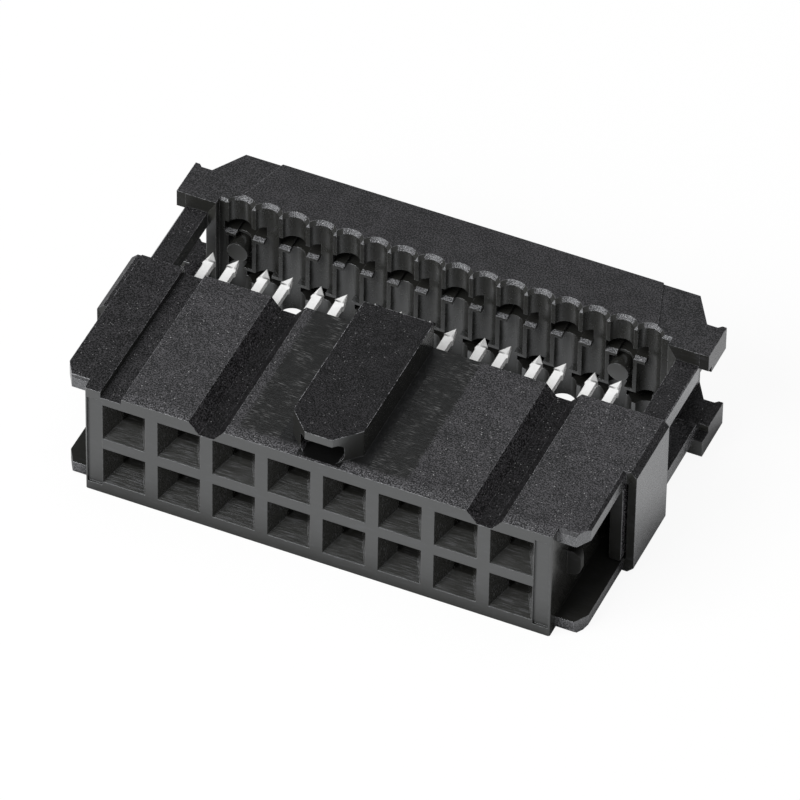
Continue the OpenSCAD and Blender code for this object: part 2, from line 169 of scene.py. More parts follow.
def mix(tree, factor, a, b):
    """Mixes two numbers or wires."""
    return put(tree, "Mix", {0: factor, 2: a, 3: b})[0]


def spread(tree, value, low, high, to_low=0.0, to_high=1.0):
    """Stretches a range of values to another one, and holds it at the ends."""
    return put(tree, "MapRange", {0: value, 1: low, 2: high, 3: to_low, 4: to_high})[0]


def grey(level, tint=0.0):
    """A grey, a little bluer with a positive tint and a little warmer with a negative one."""
    return (level, level, level * (1 + tint), 1)


def new_tree(owner):
    """Turns on the nodes of a material or a world and empties its net."""
    owner.use_nodes = True
    owner.node_tree.nodes.clear()
    return owner.node_tree


print("a middle grey:", grey(0.5))

# %% [markdown]
# ## The white sheet
#
# The part lies on a white sheet that runs far behind it. White paper next to black plastic would
# need very strong lamps to photograph as pure white, and they would spoil the black. So the sheet
# gets a little light of its own, which only the camera and glossy or clear surfaces see. The rest
# is ordinary paper, which keeps the soft shadow under the part. Close to the part the black
# plastic takes light away from the paper, and its glossy front mirrors just that strip, so the
# glow that a reflection sees carries a painted shade, darker where the part hides the open sky
# over a spot of the paper. The sheet lies a hair below the part, because two faces in one plane
# flicker.

# %% White sheet
FLOOR_HALF = 3.0
FLOOR_Z = -0.01 * MM
PAPER = 0.9
PAPER_GLOW = 0.92
SKY_REACH = 2.0 * MM
SKY_POWER = 3.0
SKY_SAMPLES = 8

floor_mesh = bpy.data.meshes.new("floor")
quarters = ((-1, -1), (1, -1), (1, 1), (-1, 1))
corners = [(x * FLOOR_HALF, y * FLOOR_HALF, FLOOR_Z) for x, y in quarters]
floor_mesh.from_pydata(corners, [], [(0, 1, 2, 3)])
floor = bpy.data.objects.new("floor", floor_mesh)
bpy.context.scene.collection.objects.link(floor)
paper = bpy.data.materials.new("white_paper")
tree = new_tree(paper)
path = put(tree, "LightPath", {})
seen = maths(tree, "MAXIMUM", path["Is Camera Ray"], path["Is Glossy Ray"])
seen = maths(tree, "MAXIMUM", seen, path["Is Transmission Ray"])
share = times(tree, seen, PAPER_GLOW)
plain = put(tree, "BsdfDiffuse", {"Color": grey(PAPER)})[0]
# Painted shade in reflections: the glow is darker where the part hides the open sky.
sky = put(tree, "AmbientOcclusion", {"Distance": SKY_REACH}, samples=SKY_SAMPLES)["AO"]
mirrored = maths(tree, "POWER", sky, SKY_POWER)
level = mix(tree, path["Is Glossy Ray"], 1.0, mirrored)
glow = put(tree, "Emission", {"Color": grey(1.0), "Strength": level})[0]
both = put(tree, "MixShader", {0: share, 1: plain, 2: glow})[0]
put(tree, "OutputMaterial", {"Surface": both})
floor_mesh.materials.append(paper)
print("sheet half width, m:", FLOOR_HALF)

# %% [markdown]
# ## The room
#
# A photographer keeps the room dim, so that black plastic stays black where no lamp reaches it. A
# box of dark walls would do it, but a plain world background gives the same light from one number.
# Where the camera looks straight at it, the background is white and carries on the white sheet.
# The Standard view shows each colour as it is written.

# %% Dim room
ROOM = 0.18

room = bpy.data.worlds.new("room")
bpy.context.scene.world = room
tree = new_tree(room)
path = put(tree, "LightPath", {})
dim = put(tree, "Background", {"Color": grey(1.0), "Strength": ROOM})[0]
white = put(tree, "Background", {"Color": grey(1.0), "Strength": 1.0})[0]
both = put(tree, "MixShader", {0: path["Is Camera Ray"], 1: dim, 2: white})[0]
put(tree, "OutputWorld", {"Surface": both})
bpy.context.scene.view_settings.view_transform = "Standard"
print("room level:", ROOM)

# %% [markdown]
# ## Soft boxes
#
# One large soft box at the front left, above the part, does nearly all the work: it lights the
# upper faces at a slant, which brings out their grain, and it draws thin bright lines along the
# edges that face it. A weak one overhead reaches the bright contacts between the housing and the
# cover, and a weaker one at the front right keeps the walls that turn away from going quite black.
# An area lamp is Blender's soft box. A point or a sun would give hard shadows that a small part on
# a studio table doesn't have.

# %% Soft boxes
def soft_box(name, direction, distance, side, watts):
    """A square lamp that looks at the part from a direction, with its sizes in metres."""
    data = bpy.data.lights.new(name, "AREA")
    data.shape = "SQUARE"
    data.size = side
    data.energy = watts
    lamp = bpy.data.objects.new(name, data)
    way = Vector(direction).normalized()
    facing = way.to_track_quat("Z", "Y").to_matrix().to_4x4()
    lamp.matrix_world = Matrix.Translation(way * distance) @ facing
    bpy.context.scene.collection.objects.link(lamp)


soft_box("front_left_box", direction=(-0.47, -0.63, 0.60), distance=0.50, side=0.36, watts=3.15)
soft_box("overhead_box", direction=(0.0, 0.15, 1.0), distance=0.55, side=0.40, watts=0.95)
soft_box("front_right_box", direction=(0.60, -0.72, 0.35), distance=0.50, side=0.36, watts=0.35)

# %% [markdown]
# ## Patterns with a true scale
#
# Grain and streaks only look right at their real size, so every pattern below is counted per
# millimetre of the part. An unwrapped image could carry them too, but it would show seams on a
# moulding with so many small faces. Noise that fills space has no seams: a face cuts through it
# wherever it lies. Tiny cells of which only a few are picked give bright specks, which are
# painted glints.

# %% Patterns in millimetres
def place_mm(tree):
    """The place on the piece in millimetres."""
    place = put(tree, "TexCoord", {})["Object"]
    return put(tree, "VectorMath", {0: place, 3: 1 / MM}, operation="SCALE")[0]


def stretched(tree, place, per_mm):
    """The place, scaled along each axis."""
    return put(tree, "VectorMath", {0: place, 1: per_mm}, operation="MULTIPLY")[0]


def noise(tree, place, per_mm, detail=2.0):
    """Cloudy noise from 0 to 1."""
    return put(tree, "TexNoise", {"Vector": place, "Scale": per_mm, "Detail": detail})[0]


def specks(tree, place, per_mm, rarity, size):
    """1 on a few tiny spots, 0 elsewhere."""
    cells = put(tree, "TexVoronoi", {"Vector": place, "Scale": per_mm})
    pick = put(tree, "SeparateColor", {0: cells["Color"]})[0]
    rare = maths(tree, "GREATER_THAN", pick, rarity)
    small = maths(tree, "LESS_THAN", cells["Distance"], size)
    return times(tree, rare, small)


NOISE_MIDDLE = (0.3, 0.7)
print("most of a noise lies between:", NOISE_MIDDLE)

# %% [markdown]
# ## Edges
#
# Edges of moulded plastic are never knife-sharp. They could be rounded in the mesh, but at a
# twentieth of a millimetre that takes thousands of faces nobody sees, so a bevel in the shader
# rounds them just enough to catch the light. Comparing the rounded direction with the flat one
# tells where an edge is. Where the air round it is open, the edge points outwards, and there a
# painted highlight makes the plastic a little paler, in flecks.

# %% Soft edges with a painted highlight
EDGE_RADIUS = 0.05 * MM
EDGE_SAMPLES = 6
EDGE_TURN = (0.99, 0.9)
AIR_REACH = EDGE_RADIUS * 4
AIR_SAMPLES = 4
OPEN_AIR = (0.8, 0.95)
FLECKS_PER_MM = 9.0
FLECK_RANGE = (0.42, 0.68)
# The grey of the painted highlight along outward edges.
EDGE_HIGHLIGHT_GREY = 0.4
COOL = 0.05
WARM = -0.1


def soft_edges(tree):
    """The surface's direction with its sharp edges rounded a little."""
    return put(tree, "Bevel", {"Radius": EDGE_RADIUS}, samples=EDGE_SAMPLES)[0]


def near_edge(tree, rounded):
    """1 where the rounded direction leaves the flat one, which is at an edge."""
    flat = put(tree, "NewGeometry", {})["True Normal"]
    same = put(tree, "VectorMath", {0: rounded, 1: flat}, operation="DOT_PRODUCT")["Value"]
    return spread(tree, same, *EDGE_TURN)


def painted_edge_highlights(tree, place, rounded, colour, amount):
    """The colour with a painted highlight, paler in flecks along the outward edges."""
    edge = times(tree, near_edge(tree, rounded), amount)
    air = put(tree, "AmbientOcclusion", {"Distance": AIR_REACH}, samples=AIR_SAMPLES, only_local=True)["AO"]
    outward = spread(tree, air, *OPEN_AIR)
    flecks = spread(tree, noise(tree, place, FLECKS_PER_MM), *FLECK_RANGE)
    share = times(tree, times(tree, edge, outward), flecks)
    return blend(tree, share, colour, grey(EDGE_HIGHLIGHT_GREY, COOL))


print("edge radius, mm:", round(EDGE_RADIUS / MM, 3))

# %% [markdown]
# ## The plastic itself
#
# Both mouldings are black glass-filled plastic. One shader does for all of their finishes: a
# nearly black base with a slightly cool gloss on top. What changes from finish to finish is the
# colour, the roughness, the height of the pattern and how strongly the surface mirrors. That last
# one is the index of refraction, a plain number for each finish, so it is set and not wired.

# %% Plastic shader
GLOSS_TINT = (0.945, 0.97, 1.0, 1)


def bump(tree, height, distance, below):
    """Tilts the surface's direction by a height."""
    inputs = {"Strength": 1.0, "Distance": distance, "Height": height, "Normal": below}
    return put(tree, "Bump", inputs)[0]


def plastic(tree, colour, roughness, ior, normal):
    """The plastic itself, with a slightly cool gloss."""
    shader = put(tree, "BsdfPrincipled", {
        "Base Color": colour, "Roughness": roughness, "IOR": ior,
        "Specular Tint": GLOSS_TINT, "Normal": normal})[0]
    put(tree, "OutputMaterial", {"Surface": shader})


print("tint of the gloss:", GLOSS_TINT[:3])

# %% [markdown]
# ## Streaks of a ground mould
#
# Where the mould was ground and not eroded, the plastic is smooth, darker to the eye, and shows
# faint streaks along the rows. A brushed look is often made with anisotropy, but here single
# marks can be told apart. So the cloudy noise is used again, stretched a lot along the rows and
# very little across them, and it steers the colour, the roughness and a shallow bump together.

# %% Smooth plastic with streaks
STREAK_PER_MM = (1.2, 24.0, 6.0)
STREAK_DETAIL = 3.0
STREAK_HEIGHT = 0.004 * MM
STREAK_RANGE = (0.5, 0.72)
STREAK_GAIN = 1.6
STREAK_ROUGH = 0.07
PATCHES_PER_MM = 2.0
PATCH_RANGE = (0.35, 0.65)
SMOOTH_SHADE = 0.8
# Strength of the painted edge highlight on smooth plastic.
SMOOTH_EDGE_HIGHLIGHT = 0.2


def streaks(tree, place):
    """Noise drawn out along the rows of contacts."""
    return noise(tree, stretched(tree, place, STREAK_PER_MM), 1.0, STREAK_DETAIL)


def smooth_plastic(name, level, rough, ior, streaky):
    """Black plastic from a ground mould, with faint or full streaks."""
    material = bpy.data.materials.new(name)
    tree = new_tree(material)
    place = place_mm(tree)
    lines = streaks(tree, place)
    patches = noise(tree, place, PATCHES_PER_MM)
    strong = times(tree, spread(tree, lines, *STREAK_RANGE), spread(tree, patches, *PATCH_RANGE))
    pale = level * (SMOOTH_SHADE + STREAK_GAIN * streaky)
    colour = blend(tree, strong, grey(level * SMOOTH_SHADE, WARM), grey(pale, COOL))
    play = STREAK_ROUGH * streaky
    roughness = spread(tree, lines, *NOISE_MIDDLE, rough - play, rough + play)
    rounded = soft_edges(tree)
    normal = bump(tree, lines, STREAK_HEIGHT * streaky, rounded)
    # A painted highlight along the outward edges.
    with_highlights = painted_edge_highlights(tree, place, rounded, colour, SMOOTH_EDGE_HIGHLIGHT)
    plastic(tree, with_highlights, roughness, ior, normal)
    return material


print("streaks per mm along and across:", STREAK_PER_MM[:2])

# %% [markdown]
# ## Six smooth finishes
#
# The inside of the housing is ground and streaky. Deep corners at the ends are dull. The mating
# face is polished and mirrors the white sheet. The inner wall of the cover is smooth too, and it
# shines more towards its foot, where the grooves flare out: the flare shines most, the tall walls
# above it less, the upper wall least. Towards the foot its colour is also paler, as painted light.
# Six separate nets of nodes would drift apart. One function with other numbers gives them all and
# keeps them one family.

# %% Smooth finishes
ground = smooth_plastic("ground_black_plastic", level=0.02, rough=0.2, ior=1.42, streaky=1.0)
dull = smooth_plastic("dull_black_plastic", level=0.018, rough=0.5, ior=1.26, streaky=0.4)
face = smooth_plastic("mating_face_plastic", level=0.02, rough=0.3, ior=1.85, streaky=0.3)
wall = smooth_plastic("cover_wall_plastic", level=0.024, rough=0.28, ior=1.62, streaky=0.15)
# Paler colour at the foot of the cover's wall, as painted light.
low_wall = smooth_plastic("low_wall_plastic", level=0.042, rough=0.28, ior=2.15, streaky=0.1)
# A little paler than the upper wall, as painted light.
tall_wall = smooth_plastic("tall_wall_plastic", level=0.03, rough=0.28, ior=1.82, streaky=0.12)
print("smooth finishes:", [m.name for m in (ground, dull, face, wall, low_wall, tall_wall)])

# %% [markdown]
# ## The ground panels beside the key
#
# Beside the key, and under it, the mould has a ground panel in the middle of the eroded grain,
# with a ragged border and short scratches along the rows. Cutting the broad side into more faces
# would give straight borders only. So the finish hands over by the place on the part, and the
# streaks themselves push the border in and out. Close to the key, on both sides, the panel is
# painted nearly black as the key's shade. In front of the panels the broad side bends down a little
# to the mating face and its grain sparkles there, which a gentle tilt and painted glints on a share
# of the craters give.

# %% Where the panels lie
PANEL_OUTER = 3.85
PANEL_FRONT = FRONT + 0.62
PANEL_RAGGED = 0.5
SIDE_FADE = 0.04
FRONT_FADE = 0.1
LEVEL_PLAY = 0.03
WINDOW_HALF = 1.0
WINDOW_FRONT = FRONT + 0.14


def panel_mask(tree, place, lines):
    """1 on the ground panels beside the key and under it."""
    x, y, z = put(tree, "SeparateXYZ", {0: place})
    ragged = times(tree, maths(tree, "SUBTRACT", lines, 0.5), PANEL_RAGGED)
    aside = maths(tree, "ABSOLUTE", x)
    inside = spread(tree, plus(tree, aside, ragged), PANEL_OUTER + SIDE_FADE, PANEL_OUTER - SIDE_FADE)
    behind = spread(tree, plus(tree, y, ragged), PANEL_FRONT - FRONT_FADE, PANEL_FRONT + FRONT_FADE)
    beside = times(tree, inside, behind)
    under = maths(tree, "LESS_THAN", aside, WINDOW_HALF)
    under = times(tree, under, maths(tree, "GREATER_THAN", y, WINDOW_FRONT))
    level = put(tree, "Math", {0: z, 1: BROAD_SIDE, 2: LEVEL_PLAY}, operation="COMPARE")[0]
    return times(tree, maths(tree, "MAXIMUM", beside, under), level)


print("panels reach from the middle, mm:", PANEL_OUTER)

# %% [markdown]
# ## The finish of the ground panels
#
# The scratches are a second stretched noise, finer than the streaks, and patches of cloud thin
# them out, so that they come in loose groups as a grinding stone leaves them. The panel could be
# a material of its own, but then its ragged border would need faces. As a part of the grained
# finish it takes over the colour, the roughness and the height, each by the same mask.

# %% Finish of the panels
SCRATCH_PER_MM = (2.6, 26.0, 6.0)
SCRATCH_RANGE = (0.55, 0.7)
SCRATCH_CLOUDS = (0.42, 0.6)
SCRATCHED = 0.14
PANEL_BLACK = 0.006
PANEL_ROUGH = 0.3
STREAK_SHARE = 0.2
SCRATCH_SHARE = 0.3
KEY_HALF = 1.625
# How far the painted shade of the key reaches beside it, and how dark it is.
FOOT = 0.42
FOOT_FADE = 0.02
KEY_SHADE_BLACK = 0.004
# Pale craters near the front, painted as glints.
SPARKLE = 0.2
SPARKLE_RANGE = (0.5, 0.62)
SPARKLE_FROM = FRONT + 0.75
SPARKLE_TO = FRONT + 0.15
SPARKLE_MOST = 0.38
STRIP_TILT = 0.75


def panel_colour(tree, place, scratches, clouds):
    """The black of a panel, with its scratches and a painted shade close to the key."""
    loose = spread(tree, clouds, *SCRATCH_CLOUDS)
    thin = times(tree, spread(tree, scratches, *SCRATCH_RANGE), loose)
    scratched = blend(tree, thin, grey(PANEL_BLACK, WARM), grey(SCRATCHED))
    aside = maths(tree, "ABSOLUTE", put(tree, "SeparateXYZ", {0: place})[0])
    foot = KEY_HALF + FOOT
    # Painted shade of the key, on both sides close to it.
    return blend(tree, spread(tree, aside, foot, foot + FOOT_FADE), grey(KEY_SHADE_BLACK), scratched)


def ground_panels(tree, place, craters, clouds, colour, roughness):
    """Hands colour, roughness and height over from the grain to the panels and the front strip."""
    lines = streaks(tree, place)
    panel = panel_mask(tree, place, lines)
    scratches = noise(tree, stretched(tree, place, SCRATCH_PER_MM), 1.0, STREAK_DETAIL)
    y = put(tree, "SeparateXYZ", {0: place})[1]
    near_front = spread(tree, y, SPARKLE_FROM, SPARKLE_TO, 0.0, SPARKLE_MOST)
    # Painted glints on the craters of the front strip.
    sparkle = times(tree, spread(tree, craters, *SPARKLE_RANGE), near_front)
    colour = blend(tree, sparkle, colour, grey(SPARKLE, COOL))
    colour = blend(tree, panel, colour, panel_colour(tree, place, scratches, clouds))
    roughness = mix(tree, panel, roughness, PANEL_ROUGH)
    scored = plus(tree, times(tree, lines, STREAK_SHARE), times(tree, scratches, SCRATCH_SHARE))
    tilt = spread(tree, y, FRONT, PANEL_FRONT, 0.0, STRIP_TILT)
    height = plus(tree, mix(tree, panel, craters, scored), tilt)
    return colour, roughness, height


print("scratches per mm along and across:", SCRATCH_PER_MM[:2])

# %% [markdown]
# ## The grain of a spark-eroded mould
#
# The outer faces of such a housing are dull and speckled. The mould was eaten out by sparks, and
# each spark left a crater of a few hundredths of a millimetre that the plastic copied. Modelled
# craters would be far too many faces, so a fine noise gives them as a bump. The same noise, with a
# coarser one and slow clouds, sets the shade: dark in the craters and paler on the ridges between.
# A few bright specks of two sizes lie on top as painted glints.

# %% Grained plastic
GRAIN_PER_MM = 16.0
GRAIN_DETAIL = 1.0
GRAIN_HEIGHT = 0.022 * MM
GRAIN_ROUGH = 0.1
CLOUDS_PER_MM = 1.5
CRATER_SHARE = 0.7
PIT_SHARE = 0.15
CLOUD_SHARE = 0.15
SHADE_RANGE = (0.43, 0.62)
CRATER_SHADE = 0.05
RIDGE_SHADE = (3.0, 2.88, 3.1)
COARSE_SPECKS = (7.0, 0.975, 0.2)
FINE_SPECKS = (13.0, 0.95, 0.28)
# The grey of the specks, which are painted glints.
PAINTED_GLINT_GREY = 0.32


def grained_plastic(name, level, rough, ior, depth, specked, panels=False, edge_highlight=0.8):
    """Black plastic from a spark-eroded mould, with or without the ground panels."""
    material = bpy.data.materials.new(name)
    tree = new_tree(material)
    place = place_mm(tree)
    craters = noise(tree, place, GRAIN_PER_MM, GRAIN_DETAIL)
    pits = noise(tree, place, GRAIN_PER_MM / 2)
    clouds = noise(tree, place, CLOUDS_PER_MM)
    shade = plus(tree, times(tree, craters, CRATER_SHARE), times(tree, pits, PIT_SHARE))
    shade = plus(tree, shade, times(tree, clouds, CLOUD_SHARE))
    ridges = tuple(level * share for share in RIDGE_SHADE) + (1,)
    colour = blend(tree, spread(tree, shade, *SHADE_RANGE), grey(level * CRATER_SHADE), ridges)
    roughness = spread(tree, craters, *NOISE_MIDDLE, rough - GRAIN_ROUGH, rough + GRAIN_ROUGH)
    rounded = soft_edges(tree)
    # A painted highlight along the outward edges.
    colour = painted_edge_highlights(tree, place, rounded, colour, edge_highlight)
    # Painted glints on a few tiny specks.
    glint_spots = plus(tree, specks(tree, place, *COARSE_SPECKS), specks(tree, place, *FINE_SPECKS))
    colour = blend(tree, times(tree, glint_spots, specked), colour, grey(PAINTED_GLINT_GREY))
    height = craters
    if panels:
        colour, roughness, height = ground_panels(tree, place, craters, clouds, colour, roughness)
    normal = bump(tree, height, GRAIN_HEIGHT * depth, rounded)
    plastic(tree, colour, roughness, ior, normal)
    return material


print("grain, craters per mm:", GRAIN_PER_MM)

# %% [markdown]
# ## Ten grained finishes
#
# The same craters look quite different with their depth. Deep ones scatter the light of the soft
# box, so the broad sides look dark grey and dusty. The key has the same depth in a blacker plastic
# with a stronger painted edge highlight, and the cover's grain is shallower. The walls and floors
# of the slots are dull, and the floors get a darker colour as painted shade. On the ends, where the
# part was drawn out of the mould along its walls, the craters are almost wiped away, and the
# plastic shines at a flat angle: the housing's ends, the legs and the ears each a little
# differently, with a paler colour on the sides of the legs as painted light. The rims of the wire
# grooves are rough and bright, with a paler colour and more specks as painted highlights. An image
# for each of them would hide how close they are, so they too are one function with other numbers.

# %% Grained finishes
grained = [
    grained_plastic("housing_grain", level=0.022, rough=0.62, ior=1.53, depth=1.8, specked=0.8,
                    panels=True),
    grained_plastic("cover_grain", level=0.015, rough=0.66, ior=1.5, depth=0.5, specked=0.08),
    # The key: a stronger painted edge highlight.
    grained_plastic("key_grain", level=0.009, rough=0.48, ior=1.34, depth=1.8, specked=0.5, edge_highlight=2.0),
    grained_plastic("satin_grain", level=0.012, rough=0.48, ior=1.38, depth=0.9, specked=0.5),
    grained_plastic("slot_grain", level=0.022, rough=0.6, ior=1.3, depth=1.0, specked=0.4),
    # The floors of the slots: a darker copy of the slot finish, as painted shade.
    grained_plastic("slot_floor_grain", level=0.008, rough=0.6, ior=1.25, depth=1.0, specked=0.5),
    grained_plastic("drawn_sides", level=0.022, rough=0.3, ior=2.05, depth=0.25, specked=0.2),
    # The outer sides of the legs: a paler colour, as painted light.
    grained_plastic("rail_sides", level=0.045, rough=0.28, ior=2.3, depth=0.25, specked=0.2),
    grained_plastic("drawn_ears", level=0.02, rough=0.36, ior=1.75, depth=0.25, specked=0.2),
    # The rims: a paler colour and more specks, as painted highlights.
    grained_plastic("bright_rims", level=0.026, rough=0.46, ior=1.85, depth=2.0, specked=1.0),
]
housing_grain, cover_grain, key_grain, satin, slot, slot_floor, drawn, rail, ear_side, rim = grained
print("grained finishes:", [m.name for m in grained])

# %% [markdown]
# ## The nose of the key
#
# The nose of the key ends in two flat cuts, and the window under it opens through them. The
# construction model has the same nose with rounded corners and a slightly smaller window. Moving
# single points of such a mesh is fiddly and easily leaves a hole. Cutters that are taken away from
# a copy are safer, and each is a prism over a flat outline: a triangle at each corner of the nose.
# They stop a hair above the broad side, so that this face stays whole.

# %% Cutters for the corners of the nose
NOSE_FRONT = FRONT + 0.15
NOSE_HALF = 0.62
CUT_RUN = Vector((1.0, 1.05))
RUN_BEFORE = 0.4
RUN_BEHIND = 1.3
SKIN = 0.003
CLEAR = 0.2


def upright(a, b, height):
    """A point of a prism that stands on a flat outline."""
    return Vector((a, b, height))


def cutter(name, outline, low, high, point):
    """A closed prism over an outline, from low to high, in millimetres."""
    shape = bmesh.new()
    rings = [[shape.verts.new(point(a, b, level) * MM) for a, b in outline] for level in (low, high)]
    count = len(outline)
    shape.faces.new(rings[0][::-1])
    shape.faces.new(rings[1])
    for i in range(count):
        j = (i + 1) % count
        shape.faces.new((rings[0][i], rings[0][j], rings[1][j], rings[1][i]))
    bmesh.ops.recalc_face_normals(shape, faces=shape.faces)
    mesh = bpy.data.meshes.new(name)
    shape.to_mesh(mesh)
    shape.free()
    tool = bpy.data.objects.new(name, mesh)
    bpy.context.scene.collection.objects.link(tool)
    return tool


tools = []
nose_corner = Vector((NOSE_HALF, NOSE_FRONT))
start = nose_corner - CUT_RUN * RUN_BEFORE
end = nose_corner + CUT_RUN * RUN_BEHIND
for side in (-1, 1):
    triangle = [(side * start.x, start.y), (side * end.x, end.y), (side * end.x, start.y)]
    tools.append(cutter("nose_cut", triangle, BROAD_SIDE + SKIN, KEY_TOP + CLEAR, upright))
print("corner cutters:", len(tools))

# %% [markdown]
# ## The window under the key
#
# The window is a wide, low opening with rounded corners, which runs back under the key. Its cutter
# is a prism again, this time lying along the depth of the housing. Four quarter circles, set at
# the corners of the opening, make its outline, so one radius shapes them all.

# %% Cutter for the window
WINDOW_TOP = BROAD_SIDE + 0.98
WINDOW_BASE = BROAD_SIDE + SKIN
WINDOW_R = 0.3
WINDOW_REAR = FRONT + 2.6
QUARTER = 90
ARC_STEPS = 6
ARC_STEP = QUARTER / ARC_STEPS


def lying(a, b, depth):
    """A point of a prism that lies along the depth of the housing."""
    return Vector((a, depth, b))


opening = []
upper = WINDOW_TOP - WINDOW_R
lower = WINDOW_BASE + WINDOW_R
reach = WINDOW_HALF - WINDOW_R
centres = ((reach, upper), (-reach, upper), (-reach, lower), (reach, lower))
for quarter, (centre_x, centre_z) in enumerate(centres):
    for i in range(ARC_STEPS + 1):
        swing = math.radians(ARC_STEP * i) + math.radians(QUARTER * quarter)
        opening.append((centre_x + WINDOW_R * math.cos(swing), centre_z + WINDOW_R * math.sin(swing)))
tools.append(cutter("window_cut", opening, FRONT - CLEAR, WINDOW_REAR, lying))
print("window outline, points:", len(opening))

# %% [markdown]
# ## Cutting a copy
#
# The construction model stays as it is, so the cut is made on a copy of the housing's mesh. The
# imported mesh is open along its sharp edges, where each side has its own points. A cut needs a
# closed skin, so the copy is first joined at those seams, and the directions that were stored for
# the old faces are cleared. Boolean modifiers then take the cutters away. They could stay on the
# piece, but their result is read out as a plain mesh here, so that the cutters can go.

# %% Helpers for the copy
SEAM = 0.0005 * MM
STORED = ("custom_normal", "sharp_edge", "sharp_face")


def joined_copy(piece, name):
    """A mesh like the piece's own, with its seams joined and its stored directions cleared."""
    joined = bmesh.new()
    joined.from_mesh(piece.data)
    bmesh.ops.remove_doubles(joined, verts=joined.verts, dist=SEAM)
    mesh = bpy.data.meshes.new(name)
    joined.to_mesh(mesh)
    joined.free()
    for stored in [entry for entry in mesh.attributes if entry.name in STORED]:
        mesh.attributes.remove(stored)
    return mesh


def trimmed(mesh, name, tools):
    """The mesh with the cutters taken out of it."""
    block = bpy.data.objects.new("block", mesh)
    bpy.context.scene.collection.objects.link(block)
    for tool in tools:
        cut = block.modifiers.new("cut", "BOOLEAN")
        cut.operation = "DIFFERENCE"
        cut.solver = "EXACT"
        cut.object = tool
    evaluated = block.evaluated_get(bpy.context.evaluated_depsgraph_get())
    result = bpy.data.meshes.new_from_object(evaluated)
    result.name = name
    for helper in tools + [block]:
        bpy.data.objects.remove(helper)
    return result


whole = joined_copy(housing, "housing_copy")
print("points of the housing:", len(housing.data.vertices), "after joining:", len(whole.vertices))

# %% [markdown]
# ## The housing with its cut nose
#
# The trimmed copy now stands in for the housing and moves with the housing's body. Round walls
# are shaded smoothly and the corners stay crisp: every edge that turns by more than a set angle
# counts as sharp. Marking the sharp edges by hand would do the same with far more work.

# %% The piece that stands in for the housing
SHARP = math.radians(20)

cut_mesh = trimmed(whole, "housing_cut_nose_mesh", tools)
cut_mesh.polygons.foreach_set("use_smooth", [True] * len(cut_mesh.polygons))
cut_mesh.set_sharp_from_angle(angle=SHARP)
housing_piece = bpy.data.objects.new("housing_cut_nose", cut_mesh)
bpy.context.scene.collection.objects.link(housing_piece)
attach(housing_piece, "housing")
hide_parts("housing")
print(housing_piece.name, "faces:", len(cut_mesh.polygons), "instead of", len(housing.data.polygons))

# %% [markdown]
# ## Which face has which finish
#
# A moulder would mark up a drawing: outer faces eroded, mating face and inner faces ground, ends
# drawn. Picking hundreds of faces by hand in the viewport is slow, and it is lost when the model
# changes. So the faces mark themselves: a rule reads where a face is, in millimetres, and which
# way it looks, and answers with a finish. A rectangle is stored as two triangles. The middle of
# the box round a triangle is the same for both halves, so that they get the same finish.

# %% Dressing by a rule
def face_middle(piece, polygon):
    """The middle of the box round a face, the same for both halves of a split rectangle."""
    corners = [piece.data.vertices[i].co for i in polygon.vertices]
    return Vector([(min(along) + max(along)) / 2 / MM for along in zip(*corners)])


def dress(piece, rule):
    """Gives each face of a piece the material that the rule names."""
    finishes = [rule(face_middle(piece, polygon), polygon.normal) for polygon in piece.data.polygons]
    kinds = sorted(set(finishes), key=lambda material: material.name)
    piece.data.materials.clear()
    for material in kinds:
        piece.data.materials.append(material)
    for polygon, material in zip(piece.data.polygons, finishes):
        polygon.material_index = kinds.index(material)
    print(piece.name, "faces per finish:", {m.name: finishes.count(m) for m in kinds})


first = face_middle(housing, housing.data.polygons[0])
print("first face of the housing at, mm:", [round(v, 2) for v in first])

# %% [markdown]
# ## The finish of the housing
#
# The rule goes from the special places to the common ones. The mating face and the front of the
# key are polished. Beyond the end walls there are the latch noses, the straps with their cut edges
# and the flanges, mostly drawn. Faces that look up or down are grained by their height: base, key,
# raised pad and broad side. What leans inside the slots is dull. All the rest is inside, and
# ground. How a face looks is read from its direction's share along an axis: 0 is across it, 1 is
# straight along it, and the four last values lie between.

# %% Finish of the housing's faces
HALF_LENGTH = housing_high.x / MM
END_WALL = HALF_LENGTH - 1.67
STRAP_FACE = HALF_LENGTH - 0.42
PAD_GROOVE = HALF_LENGTH - 3.92
MID_HEIGHT = BROAD_SIDE / 2
LATCH_HALF = 0.7
SLOT_DEPTH = 1.2
RECESS = 0.13
KEY_FOOT = 0.1
KEY_PLAY = 0.1
BASE_PLAY = 0.05
STEP_DOWN = 0.3
LEANING = 0.2
MOSTLY = 0.5
SQUARE = 0.9
STRAIGHT = 0.95


def end_finish(middle, way):
    """The finish of a face beyond the end walls, or None where the common rules hold."""
    outward = middle.x * way.x > 0 and abs(way.x) > MOSTLY
    if abs(middle.z - MID_HEIGHT) < LATCH_HALF:
        on_strap = abs(way.x) > STRAIGHT and abs(middle.x) > STRAP_FACE
        return drawn if outward and on_strap else dull
    if LEANING < abs(way.z) < STRAIGHT:
        return satin
    if outward or (way.y < -LEANING and abs(middle.x) < STRAP_FACE):
        return drawn
    if abs(way.z) > SQUARE and BASE_PLAY < middle.z < BROAD_SIDE - STEP_DOWN:
        return dull
    return None


def flat_finish(middle):
    """The finish of a face that looks up or down, or None where it lies inside."""
    if middle.z < BASE_PLAY:
        return housing_grain
    if middle.z > KEY_TOP - KEY_PLAY:
        return key_grain
    if middle.z > BROAD_SIDE + LEVEL_PLAY or (middle.x < -PAD_GROOVE and middle.z > BROAD_SIDE - STEP_DOWN):
        return satin
    return housing_grain if middle.z > BROAD_SIDE - LEVEL_PLAY else None


